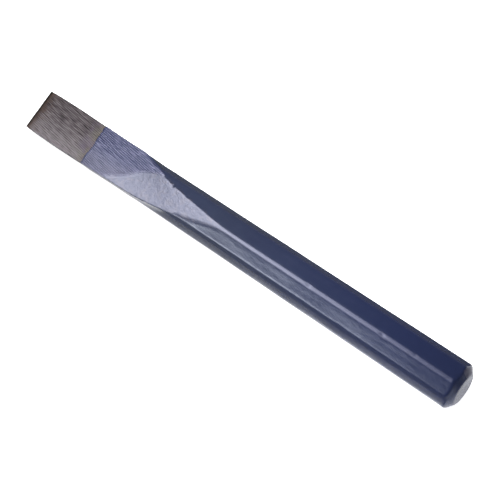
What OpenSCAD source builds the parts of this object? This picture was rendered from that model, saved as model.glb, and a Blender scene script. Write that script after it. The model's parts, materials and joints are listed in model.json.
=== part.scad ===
// Cold chisel: one forged and ground steel bar in a dipped lacquer coat.
// The bar's axis runs along X, cutting edge at -X, struck head at +X. The chisel lies on one
// flat of its octagon: Z = 0 is the surface it rests on, and X = 0 is the middle of its length.

/* [Bar] */
// Overall length, from the cutting edge to the struck face
overall_l = 250; // [200:5:320]
// Distance across the flats of the octagonal steel bar
bar_af = 19.2; // [17:0.1:22]
// Radius on the bar's eight long corners
corner_r = 4.5; // [2:0.1:5]

/* [Blade] */
// Distance from the cutting edge to where the forged taper runs out on the bar's corner
taper_l = 125; // [110:1:140]
// Thickness of the blade where the cutting bevel starts
bit_t = 2.4; // [1.6:0.1:4]
// Length of the cutting edge
edge_w = 21.3; // [18:0.1:24]
// Width of the blade where it is widest, a little behind the cutting edge
widest_w = 21.8; // [18:0.1:24]
// Distance from the cutting edge to where the blade is widest
widest_at = 16; // [5:1:40]
// Width of the blade at its shoulder, where the spreading ends
shoulder_w = 20; // [17:0.1:20.4]
// Distance from the cutting edge to the blade's shoulder
shoulder_at = 67; // [55:1:80]
// Distance from the cutting edge to where the bar starts to spread
spread_at = 84; // [82:1:95]
// Width across the blade where the bar starts to spread
spread_w = 13.6; // [12:0.1:13.6]

/* [Cutting edge] */
// Length of the cutting bevel, measured along the chisel
bevel_l = 2; // [1.5:0.1:4]
// Thickness left at the very edge
edge_t = 0.2; // [0.1:0.05:0.5]

/* [Head] */
// Diameter of the flat struck face
face_d = 13.8; // [11:0.1:15]
// Angle of the conical head chamfer from the chisel's axis
chamfer_a = 52; // [30:1:60]

/* [Lacquer] */
// Thickness of the lacquer coat
coat_t = 0.2; // [0.1:0.05:0.4]
// Length of bare ground steel behind the cutting edge
bare_l = 41.5; // [25:0.5:50]

/* [Hidden] */
sides = 8;
// Angle from a flat's centre line to the next corner. The blade is turned by it, so that its
// faces look out over a corner of the bar.
corner_a = 180 / sides;
axis_z = bar_af / 2 + coat_t;
edge_x = -overall_l / 2;
head_x = overall_l / 2 - coat_t;
// Radius out to the middle of a rounded corner
corner_reach = (bar_af / 2 - corner_r) / cos(corner_a) + corner_r;
taper_a = atan((corner_reach - bit_t / 2) / (taper_l - bevel_l));
// Larger than the chisel in every cross direction
beyond = 2 * bar_af;
// Steps along the spreading flank, and along each rounded corner
spread_steps = 8;
corner_steps = 6;

// Cross-section of the bar, grown outwards by grow, with a flat facing straight down.
module bar_section(grow) {
    r = corner_r + grow;
    arc_centre = (bar_af / 2 - corner_r) / cos(corner_a);
    polygon([
        for (side = [0 : sides - 1], step = [0 : corner_steps])
            let (at = corner_a * (2 * side + 1), turn = corner_a * (2 * step / corner_steps - 1))
            [arc_centre * cos(at) + r * cos(at + turn), arc_centre * sin(at) + r * sin(at + turn)]
    ]);
}

module bar(grow) {
    translate([edge_x - grow, 0, 0])
        rotate([90, 0, 90])
        linear_extrude(overall_l + 2 * grow)
        bar_section(grow);
}

// Half the blade's width between its shoulder (along = 0) and the start of the spread (along = 1).
function flank_w(along) = (shoulder_w + (spread_w - shoulder_w) * (1 - cos(90 * along))) / 2;

// Outline of the blade seen square to its faces, as a slab that the taper then cuts.
module blade_slab(grow) {
    upper = concat(
        [[edge_x, edge_w / 2 + grow], [edge_x + widest_at, widest_w / 2 + grow]],
        [for (step = [0 : spread_steps])
            let (along = step / spread_steps)
            [edge_x + shoulder_at + (spread_at - shoulder_at) * along, flank_w(along) + grow]]
    );
    lower = [for (i = [len(upper) - 1 : -1 : 0]) [upper[i][0], -upper[i][1]]];
    translate([0, 0, -beyond / 2])
        linear_extrude(beyond)
        polygon(concat(upper, lower));
}

// Outline of the chisel seen along the cutting edge: bevel, straight taper, then clear of the bar.
module taper_profile(grow) {
    rise = grow / cos(taper_a);
    bevel_x = edge_x + bevel_l;
    run_x = edge_x + taper_l + beyond / tan(taper_a);
    top = [
        [edge_x, edge_t / 2 + grow],
        [bevel_x, bit_t / 2 + rise],
        [run_x, corner_reach + beyond + rise]
    ];
    bottom = [for (i = [len(top) - 1 : -1 : 0]) [top[i][0], -top[i][1]]];
    rotate([90, 0, 0])
        linear_extrude(2 * beyond, center = true)
        polygon(concat(top, bottom));
}

// Solid of revolution that ends the bar in a flat struck face behind a conical chamfer.
module head_limit(grow) {
    end_x = head_x + grow;
    end_r = face_d / 2 + grow / cos(chamfer_a) - grow * tan(chamfer_a);
    cone_l = (beyond - end_r) / tan(chamfer_a);
    rotate([0, 90, 0])
        rotate_extrude($fn = 96)
        polygon([
            [0, edge_x - beyond],
            [beyond, edge_x - beyond],
            [beyond, end_x - cone_l],
            [end_r, end_x],
            [0, end_x]
        ]);
}

// The whole chisel without lacquer, grown outwards by grow.
module chisel_shape(grow) {
    translate([0, 0, axis_z])
        intersection() {
            union() {
                bar(grow);
                rotate([corner_a, 0, 0]) blade_slab(grow);
            }
            rotate([corner_a, 0, 0]) taper_profile(grow);
            head_limit(grow);
        }
}

module forging() {
    color("dimgray") chisel_shape(0);
}

module lacquer() {
    color("midnightblue")
        difference() {
            intersection() {
                chisel_shape(coat_t);
                translate([edge_x + bare_l, -beyond, -beyond])
                    cube([overall_l, 2 * beyond, 2 * beyond]);
            }
            chisel_shape(0);
        }
}

forging();
lacquer();
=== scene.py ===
import json
import math

import bpy
import numpy as np
from mathutils import Matrix, Vector

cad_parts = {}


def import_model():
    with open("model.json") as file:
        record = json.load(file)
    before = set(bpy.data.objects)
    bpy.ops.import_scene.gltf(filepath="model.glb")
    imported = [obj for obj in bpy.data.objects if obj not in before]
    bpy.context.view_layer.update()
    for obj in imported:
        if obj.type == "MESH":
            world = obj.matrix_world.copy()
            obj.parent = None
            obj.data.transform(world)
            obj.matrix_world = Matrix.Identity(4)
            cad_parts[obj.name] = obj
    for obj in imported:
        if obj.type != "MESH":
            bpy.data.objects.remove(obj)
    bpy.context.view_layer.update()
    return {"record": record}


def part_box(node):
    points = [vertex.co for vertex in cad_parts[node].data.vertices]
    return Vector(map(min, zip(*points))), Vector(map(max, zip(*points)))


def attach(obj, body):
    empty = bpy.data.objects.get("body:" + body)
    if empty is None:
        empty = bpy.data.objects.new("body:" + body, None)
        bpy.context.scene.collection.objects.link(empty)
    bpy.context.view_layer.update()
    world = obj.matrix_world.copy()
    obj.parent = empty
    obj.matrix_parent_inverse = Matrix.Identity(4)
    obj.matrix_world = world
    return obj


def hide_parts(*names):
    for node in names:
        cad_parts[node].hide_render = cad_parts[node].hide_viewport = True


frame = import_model()

# ---------------------------------------------------------------------------------------------
# Sizes. Shapes are worked out in millimetres: x along the chisel as in the frame, s along the
# cutting edge, and h square to the blade's faces, out of the corner that the blade looks over.
# ---------------------------------------------------------------------------------------------
MM = 0.001
SIDES = 8
CORNER_A = math.pi / SIDES

forging_lo, forging_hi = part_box("forging")
lacquer_lo, lacquer_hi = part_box("lacquer")
mounts = {m["name"]: m for m in frame["record"]["mounts"]}

EDGE_X = forging_lo.x / MM
STEEL_END_X = forging_hi.x / MM
COAT_T = lacquer_hi.x / MM - STEEL_END_X
BARE_L = lacquer_lo.x / MM - EDGE_X
AXIS_Z = mounts["struck_face"]["pos_m"][2] / MM
APOTHEM = AXIS_Z - COAT_T

# The bar's corners, the taper and the cutting edge.
CORNER_R = 3.8
TAPER_L = 125.0
BIT_T = 2.4
BEVEL_L = 2.0
EDGE_T = 0.2

# Widths across the blade, and how far behind the cutting edge they are. On one side of the
# chisel the bar starts to spread earlier.
EDGE_W = 21.3
WIDEST_W = 21.8
WIDEST_AT = 16.0
SHOULDER_W = 20.0
SHOULDER_AT = 67.0
SPREAD_W = 13.7
SPREAD_AT = 84.0
EARLY_SPREAD_AT = 100.0

# How far the faces turn and swell where the taper runs out.
RUNOUT_TURN = math.radians(8)
RUNOUT_SWELL = 0.2

# Where the grinding on the faces ends: the line's distance from the cutting edge, its slant, and
# how deep, where across the blade and how wide it bows. The furrows run at an angle to the axis.
GROUND_AT = 75.0
GROUND_SLANT = 1.85
GROUND_BOW = 3.5
GROUND_BOW_AT = 1.5
GROUND_BOW_W = 4.0
GRIND_TURN = math.radians(7)

# The struck face and its chamfer.
FACE_R = 6.9
CHAMFER_A = math.radians(52)

# How softly surfaces run into each other: blade into bar, faces into flanks near the edge and
# how much softer further back, corners into the flats that lie level, chamfer into bar.
FLANK_ROUND = 1.0
FACE_ROUND = 0.25
MORE_FACE_ROUND = 0.15
LEVEL_ROUND = 0.05
HEAD_ROUND = 0.5

CORNER_REACH = (APOTHEM - CORNER_R) / math.cos(CORNER_A) + CORNER_R
TAPER_SLOPE = (CORNER_REACH - BIT_T / 2) / (TAPER_L - BEVEL_L)
TAPER_COS = math.cos(math.atan(TAPER_SLOPE))

# The finished meshes: vertices around a ring, the longest ray from the axis to the surface, how
# often its search range is halved, the least height to width of a ring's rays, how much they
# crowd towards the corners of a blade with little thickness, and from which angle an edge is shaded as
# sharp.
AROUND = 240
RAY_REACH = 16.0
HALVINGS = 26
THINNEST_RING = 0.004
CROWDING = 0.15
SHARP_FROM = math.radians(24)


# ---------------------------------------------------------------------------------------------
# Shape
# ---------------------------------------------------------------------------------------------
def smooth_max(a, b, reach):
    """The larger of a and b, blended over reach where they are nearly equal."""
    share = np.clip(0.5 + 0.5 * (a - b) / reach, 0, 1)
    return b + (a - b) * share + reach * share * (1 - share)


def smooth_min(a, b, reach):
    return -smooth_max(-a, -b, reach)


def ease(low, high, value):
    """Rises smoothly from 0 where value is low to 1 where it is high, or falls if low > high."""
    share = np.clip((value - low) / (high - low), 0, 1)
    return share * share * (3 - 2 * share)


def ripples(seed, longest, shortest, stretch, count=28):
    """Smooth seeded noise of about unit height: waves that are stretch times longer along x."""
    rng = np.random.default_rng(seed)
    direction = rng.normal(size=(count, 3))
    direction /= np.linalg.norm(direction, axis=1, keepdims=True)
    length = shortest * (longest / shortest) ** rng.random(count)
    wave = 2 * math.pi * direction / length[:, None] / np.array([stretch, 1, 1])
    phase = rng.uniform(0, 2 * math.pi, count)

    def height(x, s, h):
        total = np.zeros(np.shape(x))
        for k in range(count):
            total += np.sin(wave[k, 0] * x + wave[k, 1] * s + wave[k, 2] * h + phase[k])
        return total * math.sqrt(2 / count)

    return height


def octagon(s, h):
    """Distance outside the bar's rounded octagon, whose corners point along s and h."""
    radius = np.hypot(s, h)
    turn = np.mod(np.arctan2(h, s), 2 * CORNER_A) - CORNER_A
    inner = APOTHEM - CORNER_R
    out = radius * np.cos(turn) - inner
    past = np.abs(radius * np.sin(turn)) - inner * math.tan(CORNER_A)
    return np.where(past > 0, np.hypot(np.maximum(out, 0), past), out) - CORNER_R


def half_thickness(u):
    """Half the blade's thickness at u from the cutting edge. The taper swells before it runs out."""
    bevel = EDGE_T / 2 + (BIT_T - EDGE_T) / 2 * u / BEVEL_L
    runout = np.clip((u - SHOULDER_AT) / (TAPER_L - SHOULDER_AT), 0, 1)
    taper = BIT_T / 2 + (u - BEVEL_L) * TAPER_SLOPE
    return np.where(u < BEVEL_L, bevel, taper + RUNOUT_SWELL * np.sin(math.pi * runout) ** 2)


def half_width(u, late=1.0):
    """Half the blade's width at u from the cutting edge. It drops inside the bar where the blade begins.

    The bar starts to spread nearer the head on the side that the turned faces fall towards (late = 0).
    """
    flare = EDGE_W + (WIDEST_W - EDGE_W) * (1 - (1 - np.clip(u / WIDEST_AT, 0, 1)) ** 2)
    blade = flare + (SHOULDER_W - WIDEST_W) * ease(WIDEST_AT, SHOULDER_AT, u)
    spread_at = EARLY_SPREAD_AT + (SPREAD_AT - EARLY_SPREAD_AT) * late
    along = np.clip((u - SHOULDER_AT) / (spread_at - SHOULDER_AT), 0, 1)
    spread = SHOULDER_W + (SPREAD_W - SHOULDER_W) * (1 - np.cos(along * math.pi / 2))
    inside = 3 * np.maximum(u - spread_at, 0)
    return np.where(u < SHOULDER_AT, blade, spread - inside) / 2


def head_limit(x, radius):
    """Distance outside the struck face and its conical chamfer."""
    back = STEEL_END_X - x
    cone = (radius - FACE_R) * math.cos(CHAMFER_A) - back * math.sin(CHAMFER_A)
    return smooth_max(-back, cone, HEAD_ROUND)


def above_face(u, s, h):
    """Height above the nearer face of the blade. The faces turn a little as the taper runs out."""
    turn = RUNOUT_TURN * ease(BARE_L + 5, TAPER_L - 25, u)
    return np.abs(h * np.cos(turn) - s * np.sin(turn)) - half_thickness(u)


# Nicks in the bar's corners and pits beside them: x, angle from +s towards +h in degrees,
# length along the bar, width around it, depth.
DING_SHARPNESS = 2.5
DINGS = [
    (50.0, 90.0, 1.3, 1.2, 0.13),
    (88.0, 92.0, 1.2, 1.0, 0.18),
    (89.4, 96.0, 1.0, 0.9, 0.12),
    (72.0, 136.0, 1.5, 1.3, 0.20),
    (69.5, 133.0, 1.0, 1.1, 0.12),
    (104.0, 88.0, 0.9, 1.0, 0.08),
    (14.0, 137.0, 1.2, 1.1, 0.08),
    (-32.0, 64.0, 1.2, 1.5, 0.28),
    (-33.8, 60.0, 0.9, 1.0, 0.12),
    (-22.0, 68.0, 1.2, 1.2, 0.22),
    (-27.0, 62.0, 0.8, 0.9, 0.10),
    (-6.0, 78.0, 1.0, 1.1, 0.10),
]


def dings(x, s, h):
    """How far the surface is knocked in by the nicks and pits."""
    angle = np.degrees(np.arctan2(h, s))
    depth = np.zeros(np.shape(x))
    for at_x, at_angle, length, width, deep in DINGS:
        along = (x - at_x) / length
        across = np.radians(angle - at_angle) * np.hypot(s, h) / width
        depth += deep * np.exp(-DING_SHARPNESS * (along**2 + across**2))
    return depth


def steel_distance(x, s, h):
    """Distance outside the forging's surface, close to it."""
    u = x - EDGE_X
    flank = np.abs(s) - half_width(u, ease(-20, 20, s * h))
    section = smooth_min(octagon(s, h), flank, FLANK_ROUND)
    faces = above_face(u, s, h) * TAPER_COS
    solid = smooth_max(section, faces, FACE_ROUND + MORE_FACE_ROUND * ease(30, 62, u))
    height = np.abs(s * math.sin(CORNER_A) + h * math.cos(CORNER_A)) - APOTHEM
    solid = smooth_max(solid, height, LEVEL_ROUND)
    return smooth_max(solid, head_limit(x, np.hypot(s, h)), HEAD_ROUND) + dings(x, s, h)


def world(points):
    """Row frame positions in metres for points given as x, s, h."""
    x, s, h = points[..., 0], points[..., 1], points[..., 2]
    c, d = math.cos(CORNER_A), math.sin(CORNER_A)
    return np.stack([x, s * c - h * d, AXIS_Z + s * d + h * c], -1) * MM


def surface_along(origins, directions, level):
    """Where rays from inside the chisel cross its surface, raised by level(x, s, h)."""
    near = np.zeros(origins.shape[:-1])
    far = np.full(origins.shape[:-1], RAY_REACH)
    for _ in range(HALVINGS):
        middle = (near + far) / 2
        p = origins + directions * middle[..., None]
        x, s, h = p[..., 0], p[..., 1], p[..., 2]
        inside = steel_distance(x, s, h) < level(x, s, h)
        near = np.where(inside, middle, near)
        far = np.where(inside, far, middle)
    return origins + directions * near[..., None]


def ring_rays(stations, shift=None):
    """Rays square to the axis at each station: denser towards the corners where the blade has little
    thickness.
    """
    turn = np.linspace(0, 2 * math.pi, AROUND, endpoint=False)[None, :]
    u = np.asarray(stations)[:, None] - EDGE_X
    flatness = half_thickness(u) / half_width(np.minimum(u, SHOULDER_AT))
    flatness = np.clip(flatness, THINNEST_RING, 1)
    flatness = flatness + (1 - flatness) * ease(SHOULDER_AT, SPREAD_AT + 30, u)
    turn = turn + CROWDING * (1 - flatness) * np.sin(4 * turn)
    directions = np.stack([0 * turn, np.cos(turn), flatness * np.sin(turn)], -1)
    directions /= np.linalg.norm(directions, axis=-1, keepdims=True)
    origins = np.zeros(directions.shape)
    origins[..., 0] = np.asarray(stations)[:, None]
    if shift is not None:
        origins[..., 0] += shift
    return origins, directions


def head_rays(start_x, rings):
    """Rays that fan from square to the axis to nearly along it, from one point inside the head."""
    turn = np.linspace(0, 2 * math.pi, AROUND, endpoint=False)[None, :]
    tilt = np.linspace(0, 1, rings + 1)[1:-1, None] * math.pi / 2
    directions = np.stack(
        [np.sin(tilt) + 0 * turn, np.cos(tilt) * np.cos(turn), np.cos(tilt) * np.sin(turn)], -1
    )
    origins = np.zeros(directions.shape)
    origins[..., 0] = start_x
    return origins, directions


def mesh_object(name, vertices, faces, attributes, materials, face_slots=None):
    mesh = bpy.data.meshes.new(name)
    mesh.from_pydata(world(vertices).tolist(), [], faces)
    for key, values in attributes.items():
        layer = mesh.attributes.new(key, "FLOAT", "POINT")
        layer.data.foreach_set("value", np.asarray(values, dtype=np.float32))
    for material in materials:
        mesh.materials.append(material)
    if face_slots is not None:
        mesh.polygons.foreach_set("material_index", face_slots)
    mesh.shade_smooth()
    mesh.set_sharp_from_angle(angle=SHARP_FROM)
    mesh.update()
    obj = bpy.data.objects.new(name, mesh)
    bpy.context.scene.collection.objects.link(obj)
    return obj


def wall_faces(rings, first=0, inward=False):
    """Quads between rings of AROUND vertices, numbered from first."""
    faces = []
    for i in range(rings - 1):
        a = first + i * AROUND
        for j in range(AROUND):
            k = (j + 1) % AROUND
            quad = (a + j, a + k, a + AROUND + k, a + AROUND + j)
            faces.append(quad[::-1] if inward else quad)
    return faces


def pole_faces(ring, pole, inward=False):
    """Triangles from the ring that starts at vertex number ring to a single vertex."""
    faces = [(ring + j, ring + (j + 1) % AROUND, pole) for j in range(AROUND)]
    return [f[::-1] for f in faces] if inward else faces


def edge_land_faces():
    """The narrow flat of the cutting edge, across the first ring."""
    half = AROUND // 2
    faces = [(0, AROUND - 1, 1)]
    for j in range(1, half - 1):
        faces.append((j, AROUND - j, AROUND - j - 1, j + 1))
    faces.append((half - 1, half + 1, half))
    return faces


# ---------------------------------------------------------------------------------------------
# Material helpers
# ---------------------------------------------------------------------------------------------
class Nodes:
    """A short way to write a material's node tree."""

    def __init__(self, name):
        self.material = bpy.data.materials.new(name)
        self.material.use_nodes = True
        self.tree = self.material.node_tree
        self.shader = self.tree.nodes["Principled BSDF"]

    def make(self, kind, inputs=(), **settings):
        node = self.tree.nodes.new(kind)
        for key, value in settings.items():
            setattr(node, key, value)
        for key, value in dict(inputs).items():
            self.put(node.inputs[key], value)
        return node

    def put(self, socket, value):
        if isinstance(value, bpy.types.NodeSocket):
            self.tree.links.new(value, socket)
        else:
            socket.default_value = value

    def set(self, **sockets):
        for key, value in sockets.items():
            self.put(self.shader.inputs[key.replace("_", " ")], value)

    def position(self, turn=(0, 0, 0)):
        """Object coordinates in millimetres, turned."""
        coords = self.make("ShaderNodeTexCoord").outputs["Object"]
        turned = self.make("ShaderNodeMapping", {"Vector": coords, "Rotation": turn})
        in_mm = {"Vector": turned.outputs[0], "Scale": (1 / MM, 1 / MM, 1 / MM)}
        return self.make("ShaderNodeMapping", in_mm).outputs[0]

    def across_blade(self):
        """Distance in millimetres from the chisel's axis, along the cutting edge."""
        laid_flat = self.position(turn=(-CORNER_A, 0, 0))
        offset = self.make("ShaderNodeSeparateXYZ", {"Vector": laid_flat}).outputs[1]
        return self.math("SUBTRACT", offset, AXIS_Z * math.sin(CORNER_A))

    def noise(self, vector, scale, detail=4.0, roughness=0.55, distortion=0.0):
        inputs = {"Vector": vector, "Scale": scale, "Detail": detail}
        inputs.update({"Roughness": roughness, "Distortion": distortion})
        return self.make("ShaderNodeTexNoise", inputs).outputs["Fac"]

    def attribute(self, name):
        return self.make("ShaderNodeAttribute", attribute_name=name).outputs["Fac"]

    def remap(self, value, low, high, to_low=0.0, to_high=1.0):
        inputs = {"Value": value, "From Min": low, "From Max": high, "To Min": to_low, "To Max": to_high}
        return self.make("ShaderNodeMapRange", inputs).outputs[0]

    def math(self, operation, a, b=0.0):
        node = self.make("ShaderNodeMath", operation=operation)
        self.put(node.inputs[0], a)
        self.put(node.inputs[1], b)
        return node.outputs[0]

    def mix(self, share, a, b):
        """Colour a where share is 0, colour b where it is 1."""
        node = self.make("ShaderNodeMix", data_type="RGBA")
        self.put(node.inputs["Factor"], share)
        for socket, value in zip((node.inputs[6], node.inputs[7]), (a, b)):
            self.put(socket, (*value, 1.0) if isinstance(value, tuple) else value)
        return node.outputs[2]

    def blend(self, share, a, b):
        """Value a where share is 0, value b where it is 1."""
        node = self.make("ShaderNodeMix", data_type="FLOAT")
        self.put(node.inputs["Factor"], share)
        self.put(node.inputs[2], a)
        self.put(node.inputs[3], b)
        return node.outputs[0]

    def bump(self, height, distance, strength=1.0, under=None):
        inputs = {"Height": height, "Distance": distance * MM, "Strength": strength}
        node = self.make("ShaderNodeBump", inputs)
        if under is not None:
            self.put(node.inputs["Normal"], under)
        return node.outputs[0]


def grinding(n, length=9.0, pitch=0.88, regular=0.48):
    """Furrows along the blade, a few degrees off the chisel's axis: even bands mixed with noise."""
    laid_flat = n.position(turn=(-CORNER_A, 0, 0))
    slanted = n.make("ShaderNodeMapping", {"Vector": laid_flat, "Rotation": (0, 0, GRIND_TURN)})
    drawn_out = {"Vector": slanted.outputs[0], "Scale": (1 / length, 1 / pitch, 1 / pitch)}
    lines = n.make("ShaderNodeMapping", drawn_out).outputs[0]
    wave = {"Vector": lines, "Scale": math.pi / 10, "Distortion": 2.2, "Detail": 2.0, "Detail Scale": 1.0}
    bands = n.make("ShaderNodeTexWave", wave, bands_direction="Y").outputs["Fac"]
    uneven = n.noise(lines, 1.6, detail=2.0, roughness=0.5)
    return n.blend(regular, uneven, n.remap(bands, 0, 1, 0.35, 0.65))


# Colours of the lacquer: on the shank, painted bluer towards the head as a painted reflection, over
# furrows and ridges of the grinding, lighter there towards the near side as a painted sheen, over forging
# scale, darker at its front edge as painted shade, on a patch of the chamfer, where struck.
NAVY = (0.027, 0.034, 0.067)
LIGHT_NAVY = (0.031, 0.039, 0.075)
HEAD_REFLECTION_NAVY = (0.0245, 0.0345, 0.100)
FURROW_NAVY = (0.014, 0.018, 0.055)
RIDGE_LILAC = (0.118, 0.122, 0.205)
SHEEN_FURROW = (0.05, 0.052, 0.09)
SHEEN_RIDGE = (0.17, 0.172, 0.235)
SCALE_GREY = (0.075, 0.068, 0.085)
FRONT_SHADE_NAVY = (0.016, 0.022, 0.07)
PATCH_PURPLE = (0.050, 0.047, 0.105)
STRUCK_GREY = (0.088, 0.080, 0.125)


def lacquer_material():
    n = Nodes("navy_lacquer")
    place = n.position()
    ground = n.attribute("ground")
    forged = n.attribute("forged")
    chamfer_patch = n.attribute("chamfer_patch")
    struck = n.attribute("struck")
    along = n.make("ShaderNodeSeparateXYZ", {"Vector": place}).outputs[0]

    tone = n.noise(place, 0.09, detail=3.0)
    colour = n.mix(n.remap(tone, 0.35, 0.65), NAVY, LIGHT_NAVY)
    # Painted reflection: the lacquer is painted bluer towards the head, for the bluer reflections seen
    # there.
    colour = n.mix(n.remap(along, 0, 95), colour, HEAD_REFLECTION_NAVY)
    lines = grinding(n)
    ridges = n.math("MULTIPLY", n.remap(lines, 0.44, 0.60), ground)
    colour = n.mix(ground, colour, FURROW_NAVY)
    colour = n.mix(ridges, colour, RIDGE_LILAC)
    # Painted sheen: the ground faces are painted lighter towards the near side of the blade, where s is
    # negative.
    near_side_sheen = n.math("MULTIPLY", n.remap(n.across_blade(), 1.0, -5.0, 0, 0.6), ground)
    colour = n.mix(near_side_sheen, colour, n.mix(lines, SHEEN_FURROW, SHEEN_RIDGE))
    cloudy = n.noise(place, 0.28, detail=5.0, roughness=0.6, distortion=0.8)
    scale_marks = n.math("MULTIPLY", n.remap(cloudy, 0.48, 0.62), forged)
    colour = n.mix(n.math("MULTIPLY", scale_marks, 0.45), colour, SCALE_GREY)
    # Painted shade: a darker navy just behind the film's front edge, for the shade along that edge.
    front_edge_shade = n.remap(along, EDGE_X + BARE_L + 1.1, EDGE_X + BARE_L + 0.5, 0, 0.75)
    colour = n.mix(front_edge_shade, colour, FRONT_SHADE_NAVY)
    # A paler purple, rougher patch on one side of the chamfer.
    colour = n.mix(chamfer_patch, colour, PATCH_PURPLE)
    dented = n.noise(place, 1.1, detail=4.0, roughness=0.7)
    dull = n.math("MULTIPLY", n.remap(dented, 0.42, 0.62), struck)
    colour = n.mix(n.math("MULTIPLY", dull, 0.8), colour, STRUCK_GREY)
    n.set(Base_Color=colour)

    rough = n.remap(n.noise(place, 0.5, detail=3.0), 0.3, 0.7, 0.15, 0.24)
    rough = n.blend(forged, rough, 0.16)
    rough = n.blend(ground, rough, 0.36)
    rough = n.blend(chamfer_patch, rough, 0.45)
    rough = n.blend(struck, rough, n.remap(dented, 0.35, 0.65, 0.18, 0.38))
    n.set(Roughness=rough, IOR=1.5, Specular_Tint=(0.80, 0.86, 1.0, 1.0))

    peel = n.bump(n.noise(place, 0.6, detail=3.0), 0.04, 0.8)
    pits = n.noise(place, 0.9, detail=5.0, roughness=0.65)
    forged_skin = n.bump(n.math("MULTIPLY", pits, forged), 0.09, 0.9, under=peel)
    scored = n.bump(n.math("MULTIPLY", lines, ground), 0.55, 1.0, under=forged_skin)
    n.set(Normal=n.bump(n.math("MULTIPLY", dented, struck), 0.10, 1.0, under=scored))
    return n.material


# Colours of the bare steel: furrows, ridges, broad dark streaks, the same lighter towards the near side
# as a painted sheen, the stains near the paint, the tan band along it, and the burnt zone at the edge.
FURROW_BLACK = (0.010, 0.009, 0.0095)
RIDGE_GREY = (0.098, 0.090, 0.093)
STREAK_BLACK = (0.022, 0.019, 0.019)
STEEL_SHEEN_FURROW = (0.045, 0.042, 0.043)
STEEL_SHEEN_RIDGE = (0.135, 0.130, 0.134)
STAIN_PURPLE = (0.055, 0.047, 0.080)
STAIN_GREEN = (0.055, 0.066, 0.055)
TAN_FURROW = (0.034, 0.031, 0.025)
TAN_RIDGE = (0.122, 0.112, 0.092)
STAIN_BROWN = (0.060, 0.042, 0.032)
BURNT_BLACK = (0.012, 0.008, 0.006)
BURNT_BROWN = (0.05, 0.036, 0.028)


def ground_steel_material():
    n = Nodes("ground_steel")
    place = n.position()
    lines = grinding(n)
    streaks = grinding(n, 14.0, 2.6, 0.0)
    along = n.make("ShaderNodeSeparateXYZ", {"Vector": place}).outputs[0]
    colour = n.mix(n.remap(lines, 0.36, 0.66), FURROW_BLACK, RIDGE_GREY)
    colour = n.mix(n.remap(streaks, 0.5, 0.72, 0, 0.35), colour, STREAK_BLACK)
    # Painted sheen: the bare steel is painted lighter towards the near side of the blade, where s is
    # negative.
    steel_sheen = n.remap(n.across_blade(), 4.0, -9.0, 0, 0.65)
    bright = n.mix(n.remap(lines, 0.3, 0.6), STEEL_SHEEN_FURROW, STEEL_SHEEN_RIDGE)
    colour = n.mix(steel_sheen, colour, bright)

    stain = n.noise(place, 0.16, detail=4.0, roughness=0.6, distortion=0.8)
    near_paint = n.remap(along, EDGE_X + BARE_L - 9, EDGE_X + BARE_L)
    purple = n.math("MULTIPLY", n.remap(stain, 0.48, 0.62), near_paint)
    colour = n.mix(n.math("MULTIPLY", purple, 0.7), colour, STAIN_PURPLE)
    green = n.math("MULTIPLY", n.remap(stain, 0.52, 0.40), near_paint)
    colour = n.mix(n.math("MULTIPLY", green, 0.35), colour, STAIN_GREEN)
    tan = n.remap(along, EDGE_X + BARE_L - 5.0, EDGE_X + BARE_L - 1.0, 0, 0.42)
    colour = n.mix(tan, colour, n.mix(lines, TAN_FURROW, TAN_RIDGE))

    near_edge = n.remap(along, EDGE_X + 12, EDGE_X + 2)
    mottle = n.noise(place, 0.5, detail=5.0, roughness=0.65)
    brown = n.math("MULTIPLY", n.remap(mottle, 0.46, 0.66), near_edge)
    colour = n.mix(n.math("MULTIPLY", brown, 0.6), colour, STAIN_BROWN)
    burnt = n.remap(along, EDGE_X + 5.5, EDGE_X + 2.2, 0, 0.85)
    colour = n.mix(burnt, colour, n.mix(mottle, BURNT_BLACK, BURNT_BROWN))
    n.set(Base_Color=colour, Metallic=1.0)
    n.set(Roughness=n.remap(lines, 0.3, 0.7, 0.58, 0.36))
    n.set(Normal=n.bump(lines, 0.16, 1.0, under=n.bump(streaks, 0.10, 0.4)))
    return n.material


def bevel_steel_material():
    n = Nodes("bevel_steel")
    mottle = n.noise(n.position(), 0.8, detail=5.0, roughness=0.65)
    n.set(Base_Color=n.mix(n.remap(mottle, 0.35, 0.65), (0.018, 0.011, 0.008), (0.07, 0.048, 0.037)))
    n.set(Metallic=1.0, Roughness=n.remap(mottle, 0.3, 0.7, 0.35, 0.55))
    n.set(Normal=n.bump(mottle, 0.04, 0.6))
    return n.material


def bright_edge_material():
    n = Nodes("bright_edge")
    grain = n.noise(n.position(), 2.0, detail=3.0)
    n.set(Base_Color=n.mix(grain, (0.10, 0.085, 0.075), (0.22, 0.20, 0.18)), Metallic=1.0)
    n.set(Roughness=n.remap(grain, 0.3, 0.7, 0.25, 0.4))
    return n.material


# ---------------------------------------------------------------------------------------------
# Pieces
# ---------------------------------------------------------------------------------------------
# The rings of both pieces end where rays fan out over the head from one point on the axis.
HEAD_FAN_X = STEEL_END_X - 9.0
FAN_RINGS = 44
HIDDEN_FAN_RINGS = 14

# The forging: rings on the bevel, depths of its furrows and of the chips in the cutting edge,
# and how far it stays inside the lacquer where that covers it.
BEVEL_RINGS = 8
FURROW_DEPTH = 0.012
CHIP_DEPTH = 0.02
CLEARANCE = 0.012

# The lacquer: how ragged its front edge is, the length over which its film gets its full
# thickness, and the heights of its waves, of the hammer marks under it and of its drawn lines.
RAGGED = 0.28
FILM_ROUND = 0.45
WAVES = 0.018
HAMMERED = 0.008
DRAWN = 0.003

# The paler, rougher patch on the head's chamfer: where its middle is, around the axis.
PATCH_AT = math.radians(36)


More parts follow.
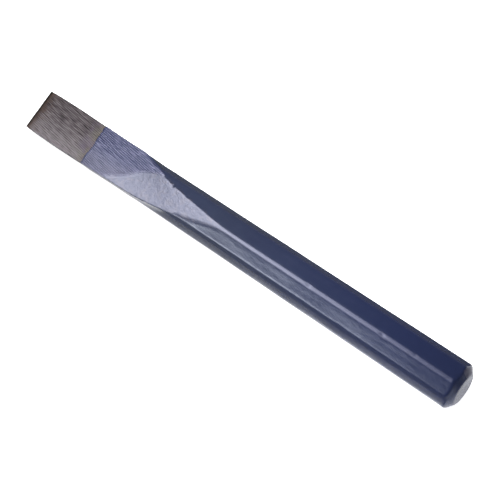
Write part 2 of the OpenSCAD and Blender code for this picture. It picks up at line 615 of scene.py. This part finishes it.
def steel_level():
    """Relief of the forging: furrows behind the bevel, chips along the edge."""
    furrows = ripples(11, 1.1, 0.8, 40.0)
    chips = ripples(12, 5.0, 1.2, 1.0)

    def level(x, s, h):
        u = x - EDGE_X
        slanted = s * math.cos(GRIND_TURN) + x * math.sin(GRIND_TURN)
        drawn = x * math.cos(GRIND_TURN) - s * math.sin(GRIND_TURN)
        bare = ease(BARE_L + 0.2, BARE_L - 0.6, u) * ease(BEVEL_L - 0.3, BEVEL_L + 1.5, u)
        scored = FURROW_DEPTH * furrows(drawn, slanted, np.sign(h)) * bare
        chipped = CHIP_DEPTH * chips(x, s, 0 * h) * ease(BEVEL_L, 0, u)
        hidden = -CLEARANCE * ease(BARE_L, BARE_L + 0.6, u)
        return scored + chipped + hidden

    return level


def make_forging():
    """The steel forging. Its bare end is detailed, and the rest fills the lacquer."""
    bare_end = EDGE_X + BARE_L + 2.0
    stations = np.concatenate(
        [
            EDGE_X + np.linspace(0, BEVEL_L - 0.06, BEVEL_RINGS),
            EDGE_X + BEVEL_L + np.array([0.0, 0.06]),
            np.linspace(EDGE_X + BEVEL_L + 0.4, bare_end, 96),
            np.linspace(bare_end + 3, HEAD_FAN_X, 36),
        ]
    )
    rays = [ring_rays(stations), head_rays(HEAD_FAN_X, HIDDEN_FAN_RINGS)]
    level = steel_level()
    rings = np.concatenate([surface_along(*ray, level) for ray in rays])
    rings[0, :, 0] = EDGE_X
    vertices = np.concatenate([rings.reshape(-1, 3), [[STEEL_END_X - CLEARANCE, 0, 0]]])
    land = edge_land_faces()
    faces = wall_faces(len(rings)) + pole_faces((len(rings) - 1) * AROUND, len(vertices) - 1) + land
    slots = np.zeros(len(faces), dtype=np.int32)
    slots[: BEVEL_RINGS * AROUND] = 1
    slots[-len(land) :] = 2
    materials = [ground_steel_material(), bevel_steel_material(), bright_edge_material()]
    piece = mesh_object("forged_steel", vertices, faces, {}, materials, slots)
    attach(piece, "root")
    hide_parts("forging")


def lacquer_level(front_shift):
    """Height of the lacquer's outside over the forging, behind its shifted front edge."""
    waves = ripples(22, 26.0, 8.0, 2.2)
    hammered = ripples(23, 5.0, 2.0, 1.0)
    drawn = ripples(24, 4.0, 1.6, 30.0)

    def level(x, s, h):
        u = x - EDGE_X
        behind = u - BARE_L - front_shift(s, h)
        film = COAT_T * np.sqrt(np.clip(behind / FILM_ROUND, 0, 1))
        taper = ease(BARE_L + 18, BARE_L + 34, u) * ease(TAPER_L + 6, TAPER_L - 12, u)
        relief = WAVES * waves(x, s, h) + HAMMERED * taper * hammered(x, s, h)
        relief += DRAWN * (1 - taper) * drawn(x, s, h)
        return film + relief * ease(0, 1.2, behind)

    return level


def bare_level(x, s, h):
    """The forging's own surface, on which the film's inside lies."""
    return 0 * x


def film_outside():
    """Rings of vertices over the outside of the lacquer."""
    ragged = ripples(21, 6.0, 0.9, 1.0)

    def front_shift(s, h):
        return RAGGED * ragged(0 * s, np.clip(s, -EDGE_W / 2, EDGE_W / 2), 3 * np.sign(h))

    paint_x = EDGE_X + BARE_L
    front = paint_x + np.array([0.0, 0.05, 0.13, 0.25, 0.45, 0.8])
    blade = np.linspace(paint_x + 1.4, 4.0, 136)
    shank = np.linspace(4.9, HEAD_FAN_X, 122)
    stations = np.concatenate([front, blade, shank])
    turn = np.linspace(0, 2 * math.pi, AROUND, endpoint=False)
    shift = front_shift(EDGE_W / 2 * np.cos(turn), np.sin(turn))
    falloff = ease(paint_x + 9, paint_x, stations)[:, None]
    rays = [ring_rays(stations, falloff * shift[None, :]), head_rays(HEAD_FAN_X, FAN_RINGS)]
    level = lacquer_level(front_shift)
    return np.concatenate([surface_along(*ray, level) for ray in rays])


def film_inside():
    """Rings of vertices over the inside of the lacquer, without its front edge."""
    paint_x = EDGE_X + BARE_L
    front = paint_x + np.array([2.0, 6.0])
    stations = np.concatenate([front, np.linspace(paint_x + 12, HEAD_FAN_X, 40)])
    rays = [ring_rays(stations), head_rays(HEAD_FAN_X, HIDDEN_FAN_RINGS)]
    return np.concatenate([surface_along(*ray, bare_level) for ray in rays])


def film_faces(outer_count, inner_count):
    """Faces of a closed film: its outside, the step from its first ring inwards, and its inside."""
    outer_pole = outer_count * AROUND
    inner_first = outer_pole + 1
    inner_pole = inner_first + inner_count * AROUND
    faces = wall_faces(outer_count)
    faces += pole_faces(outer_pole - AROUND, outer_pole)
    for j in range(AROUND):
        k = (j + 1) % AROUND
        faces.append((inner_first + j, inner_first + k, k, j))
    faces += wall_faces(inner_count, inner_first, inward=True)
    faces += pole_faces(inner_pole - AROUND, inner_pole, inward=True)
    return faces


def lacquer_marks(vertices):
    """How much of the surface at each vertex is ground, forged, in the chamfer's patch or struck, for the
    material.
    """
    x, s, h = vertices.T
    u = x - EDGE_X
    on_face = ease(-0.7, -0.1, above_face(u, s, h) - COAT_T)
    bow = GROUND_BOW * np.exp(-(((s - GROUND_BOW_AT) / GROUND_BOW_W) ** 2))
    ground_end = GROUND_AT + GROUND_SLANT * s - bow
    ground = ease(2.5, -2.5, u - ground_end) * on_face
    forged = ease(-2.5, 2.5, u - ground_end) * on_face * ease(TAPER_L + 4, TAPER_L - 8, u)
    chamfer = ease(STEEL_END_X - 2.6, STEEL_END_X - 1.8, x)
    chamfer *= ease(STEEL_END_X + 0.1, STEEL_END_X - 0.3, x)
    chamfer_patch = chamfer * ease(0.42, 0.28, np.abs(np.arctan2(h, s) - PATCH_AT))
    struck = ease(STEEL_END_X - 0.4, STEEL_END_X + 0.05, x)
    struck *= ease(FACE_R + 0.6, FACE_R - 0.2, np.hypot(s, h))
    return {"ground": ground, "forged": forged, "chamfer_patch": chamfer_patch, "struck": struck}


def make_lacquer():
    """The lacquer coat: one closed film whose inside lies on the forging."""
    outer, inner = film_outside(), film_inside()
    outer_pole, inner_pole = [[STEEL_END_X + COAT_T, 0, 0]], [[STEEL_END_X, 0, 0]]
    vertices = np.concatenate([outer.reshape(-1, 3), outer_pole, inner.reshape(-1, 3), inner_pole])
    faces = film_faces(len(outer), len(inner))
    piece = mesh_object("lacquer_coat", vertices, faces, lacquer_marks(vertices), [lacquer_material()])
    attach(piece, "root")
    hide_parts("lacquer")


# ---------------------------------------------------------------------------------------------
# Studio
# ---------------------------------------------------------------------------------------------
# Where the photo was taken from, in metres: direction from the middle of the chisel, distance,
# how far right of and below the middle the camera looks, its roll and its lens.
MIDDLE = Vector((0, 0, AXIS_Z * MM))
VIEW_AZIMUTH = math.radians(48.26)
VIEW_ELEVATION = math.radians(52.88)
VIEW_DISTANCE = 0.4834
AIM_RIGHT = 0.0088
AIM_DOWN = 0.00845
VIEW_ROLL = math.radians(-6.85)
LENS_MM = 78.42

# Where the studio's parts are, in metres: the table, the cards just above it and how far in front
# of the axis some of them begin, the backdrop, the softbox overhead and the panels in front.
FLOOR_Z = -0.00006
FLOOR_REACH = 6.0
CARD_Z = -0.00003
CARD_GAP = 0.0135
BACKDROP_AT = 5.8
BACKDROP_LOW, BACKDROP_HIGH = -1.0, 9.0
OVERHEAD_Z = 0.6
FRONT_Y = -1.0
STRIP_TOP = 0.463
FRONT_LOW = 0.467

# The softbox's far side is slanted: it lies along y = slant * x - offset.
SOFTBOX_SLANT = 0.319
SOFTBOX_OFFSET = 0.005

# Radiances of the lights. The cards' stand beside their sizes.
OVERHEAD_RADIANCE = 12.8
STRIP_RADIANCE = 13.5
FRONT_RADIANCE = 0.35
KEY_WATTS = 0.70
WORLD_RADIANCE = 0.12


def make_camera():
    a, e = VIEW_AZIMUTH, VIEW_ELEVATION
    out = Vector((math.sin(a) * math.cos(e), -math.cos(a) * math.cos(e), math.sin(e)))
    right = Vector((math.cos(a), math.sin(a), 0))
    place = MIDDLE + out * VIEW_DISTANCE
    aim = MIDDLE + right * AIM_RIGHT - out.cross(right) * AIM_DOWN
    back = (place - aim).normalized()
    level_right = Vector((0, 0, 1)).cross(back).normalized()
    level_up = back.cross(level_right)
    rolled_right = level_right * math.cos(VIEW_ROLL) + level_up * math.sin(VIEW_ROLL)
    matrix = Matrix((rolled_right, back.cross(rolled_right), back)).transposed().to_4x4()
    matrix.translation = place
    data = bpy.data.cameras.new("camera")
    data.lens = LENS_MM
    data.clip_start, data.clip_end = 0.01, 20
    camera = bpy.data.objects.new("camera", data)
    camera.matrix_world = matrix
    bpy.context.scene.collection.objects.link(camera)
    bpy.context.scene.camera = camera


def panel(name, corners, material, faces=((0, 1, 2, 3),)):
    """A piece of the studio that is no part of the object."""
    mesh = bpy.data.meshes.new(name)
    mesh.from_pydata(corners, [], faces)
    mesh.materials.append(material)
    obj = bpy.data.objects.new(name, mesh)
    bpy.context.scene.collection.objects.link(obj)
    return obj


def flat(low, high, z):
    """Corners of a level panel between two corners given as x, y."""
    return [(low[0], low[1], z), (high[0], low[1], z), (high[0], high[1], z), (low[0], high[1], z)]


def upright(low_x, high_x, low_z, high_z, y):
    """Corners of an upright panel that faces along y."""
    return [(low_x, y, low_z), (high_x, y, low_z), (high_x, y, high_z), (low_x, y, high_z)]


def glow(n, radiance, *fades, tint=(1, 1, 1, 1)):
    """Make the material a plain light whose radiance is faded by each value."""
    for fade in fades:
        radiance = n.math("MULTIPLY", fade, radiance)
    n.set(Base_Color=(0, 0, 0, 1), Emission_Color=tint, Emission_Strength=radiance)
    n.set(Roughness=1.0, Specular_IOR_Level=0.0)
    return n.material


def studio_axes(n):
    """Outputs for x, y and z in metres. Panels aren't moved, so these are the frame's own."""
    coords = n.make("ShaderNodeTexCoord").outputs["Object"]
    return n.make("ShaderNodeSeparateXYZ", {"Vector": coords}).outputs


def make_overhead():
    """The big softbox: brightest over the blade, fading towards the head and down the near side."""
    n = Nodes("overhead_light")
    x, y, _ = studio_axes(n)
    slanted = n.math("ADD", n.math("MULTIPLY", x, -SOFTBOX_SLANT), SOFTBOX_OFFSET)
    past = n.math("ADD", y, slanted)
    core = n.remap(past, 0.015, -0.015)
    skirt = n.remap(past, 0.09, 0.06)
    across = n.math("ADD", n.math("MULTIPLY", core, 0.7), n.math("MULTIPLY", skirt, 0.3))
    along = n.remap(x, 0.03, -0.33)
    down = n.remap(y, -0.78, -0.42)
    front = n.remap(x, -0.72, -0.66)
    fades = (across, along, down, front)
    material = glow(n, OVERHEAD_RADIANCE, *fades, tint=(1.02, 0.965, 1.0, 1))
    return panel("overhead", flat((-0.74, -0.8), (0.03, 0.12), OVERHEAD_Z), material)


def make_strip():
    """A low bright strip in front, for the line along the lower corner."""
    n = Nodes("strip_light")
    x, _, z = studio_axes(n)
    material = glow(n, STRIP_RADIANCE, n.remap(x, -0.09, -0.40), n.remap(z, 0.12, 0.38))
    return panel("strip", upright(-0.95, -0.09, 0.0, STRIP_TOP, FRONT_Y), material)


def make_front():
    """A dim bluish panel above the strip, which the near upper flat looks at."""
    material = glow(Nodes("front_light"), FRONT_RADIANCE, tint=(0.86, 0.90, 1.1, 1))
    return panel("front", upright(-1.1, 0.3, FRONT_LOW, 1.3, FRONT_Y), material)


def make_floor():
    """A pale table, lit from within so that it carries no shadow."""
    n = Nodes("pale_floor")
    n.set(Base_Color=(0.9, 0.9, 0.9, 1), Roughness=0.9)
    n.set(Emission_Color=(1, 1, 1, 1), Emission_Strength=1.0)
    reach = FLOOR_REACH
    panel("floor", flat((-reach, -reach), (reach, reach), FLOOR_Z), n.material)


def make_backdrop():
    """Pale walls all round, for views from the side. They light nothing and aren't reflected."""
    at = BACKDROP_AT
    walls = [(-at, -at), (at, -at), (at, at), (-at, at)]
    corners = [(x, y, z) for z in (BACKDROP_LOW, BACKDROP_HIGH) for x, y in walls]
    faces = [(i, (i + 1) % 4, 4 + (i + 1) % 4, 4 + i) for i in range(4)]
    backdrop = panel("backdrop", corners, glow(Nodes("backdrop"), 1.0), faces)
    backdrop.visible_diffuse = False
    backdrop.visible_glossy = False
    backdrop.visible_shadow = False


def make_cards():
    """Dark, grey and glowing cards on the table beside the chisel, for its reflections."""
    sheets = {
        "near_card": (0.36, (-0.5, -1.2), (0.14, -CARD_GAP)),
        "head_side_card": (1.0, (0.14, -1.2), (1.0, -CARD_GAP)),
        "far_card": (0.12, (-0.5, 0), (0.12, 1.2)),
        "head_card": (0.1, (0.16, -CARD_GAP), (1.0, 0.12)),
    }
    cards = []
    for name, (radiance, low, high) in sheets.items():
        cards.append(panel(name, flat(low, high, CARD_Z), glow(Nodes(name), radiance)))
    n = Nodes("rim_card")
    x, _, _ = studio_axes(n)
    rim = glow(n, n.remap(x, -0.08, 0.06, 0.75, 3.1))
    cards.append(panel("rim_card", flat((-0.5, -CARD_GAP), (0.12, 0), CARD_Z), rim))
    return cards


def make_key():
    """A plain soft light above the middle that brings out the colours. It isn't reflected."""
    data = bpy.data.lights.new("key", "AREA")
    data.shape = "SQUARE"
    data.size = 0.16
    data.energy = KEY_WATTS
    light = bpy.data.objects.new("key", data)
    light.location = (-0.05, 0, 0.22)
    light.visible_camera = False
    light.visible_glossy = False
    bpy.context.scene.collection.objects.link(light)


def make_studio():
    world_light = bpy.data.worlds.new("studio")
    world_light.use_nodes = True
    background = world_light.node_tree.nodes["Background"]
    background.inputs["Color"].default_value = (0.95, 0.97, 1.0, 1)
    background.inputs["Strength"].default_value = WORLD_RADIANCE
    bpy.context.scene.world = world_light
    bpy.context.scene.view_settings.view_transform = "Standard"
    make_floor()
    make_backdrop()
    make_key()
    for reflected in (make_overhead(), make_strip(), make_front(), *make_cards()):
        reflected.visible_camera = False
        reflected.visible_diffuse = False
        reflected.visible_shadow = False


make_forging()
make_lacquer()
make_studio()
make_camera()
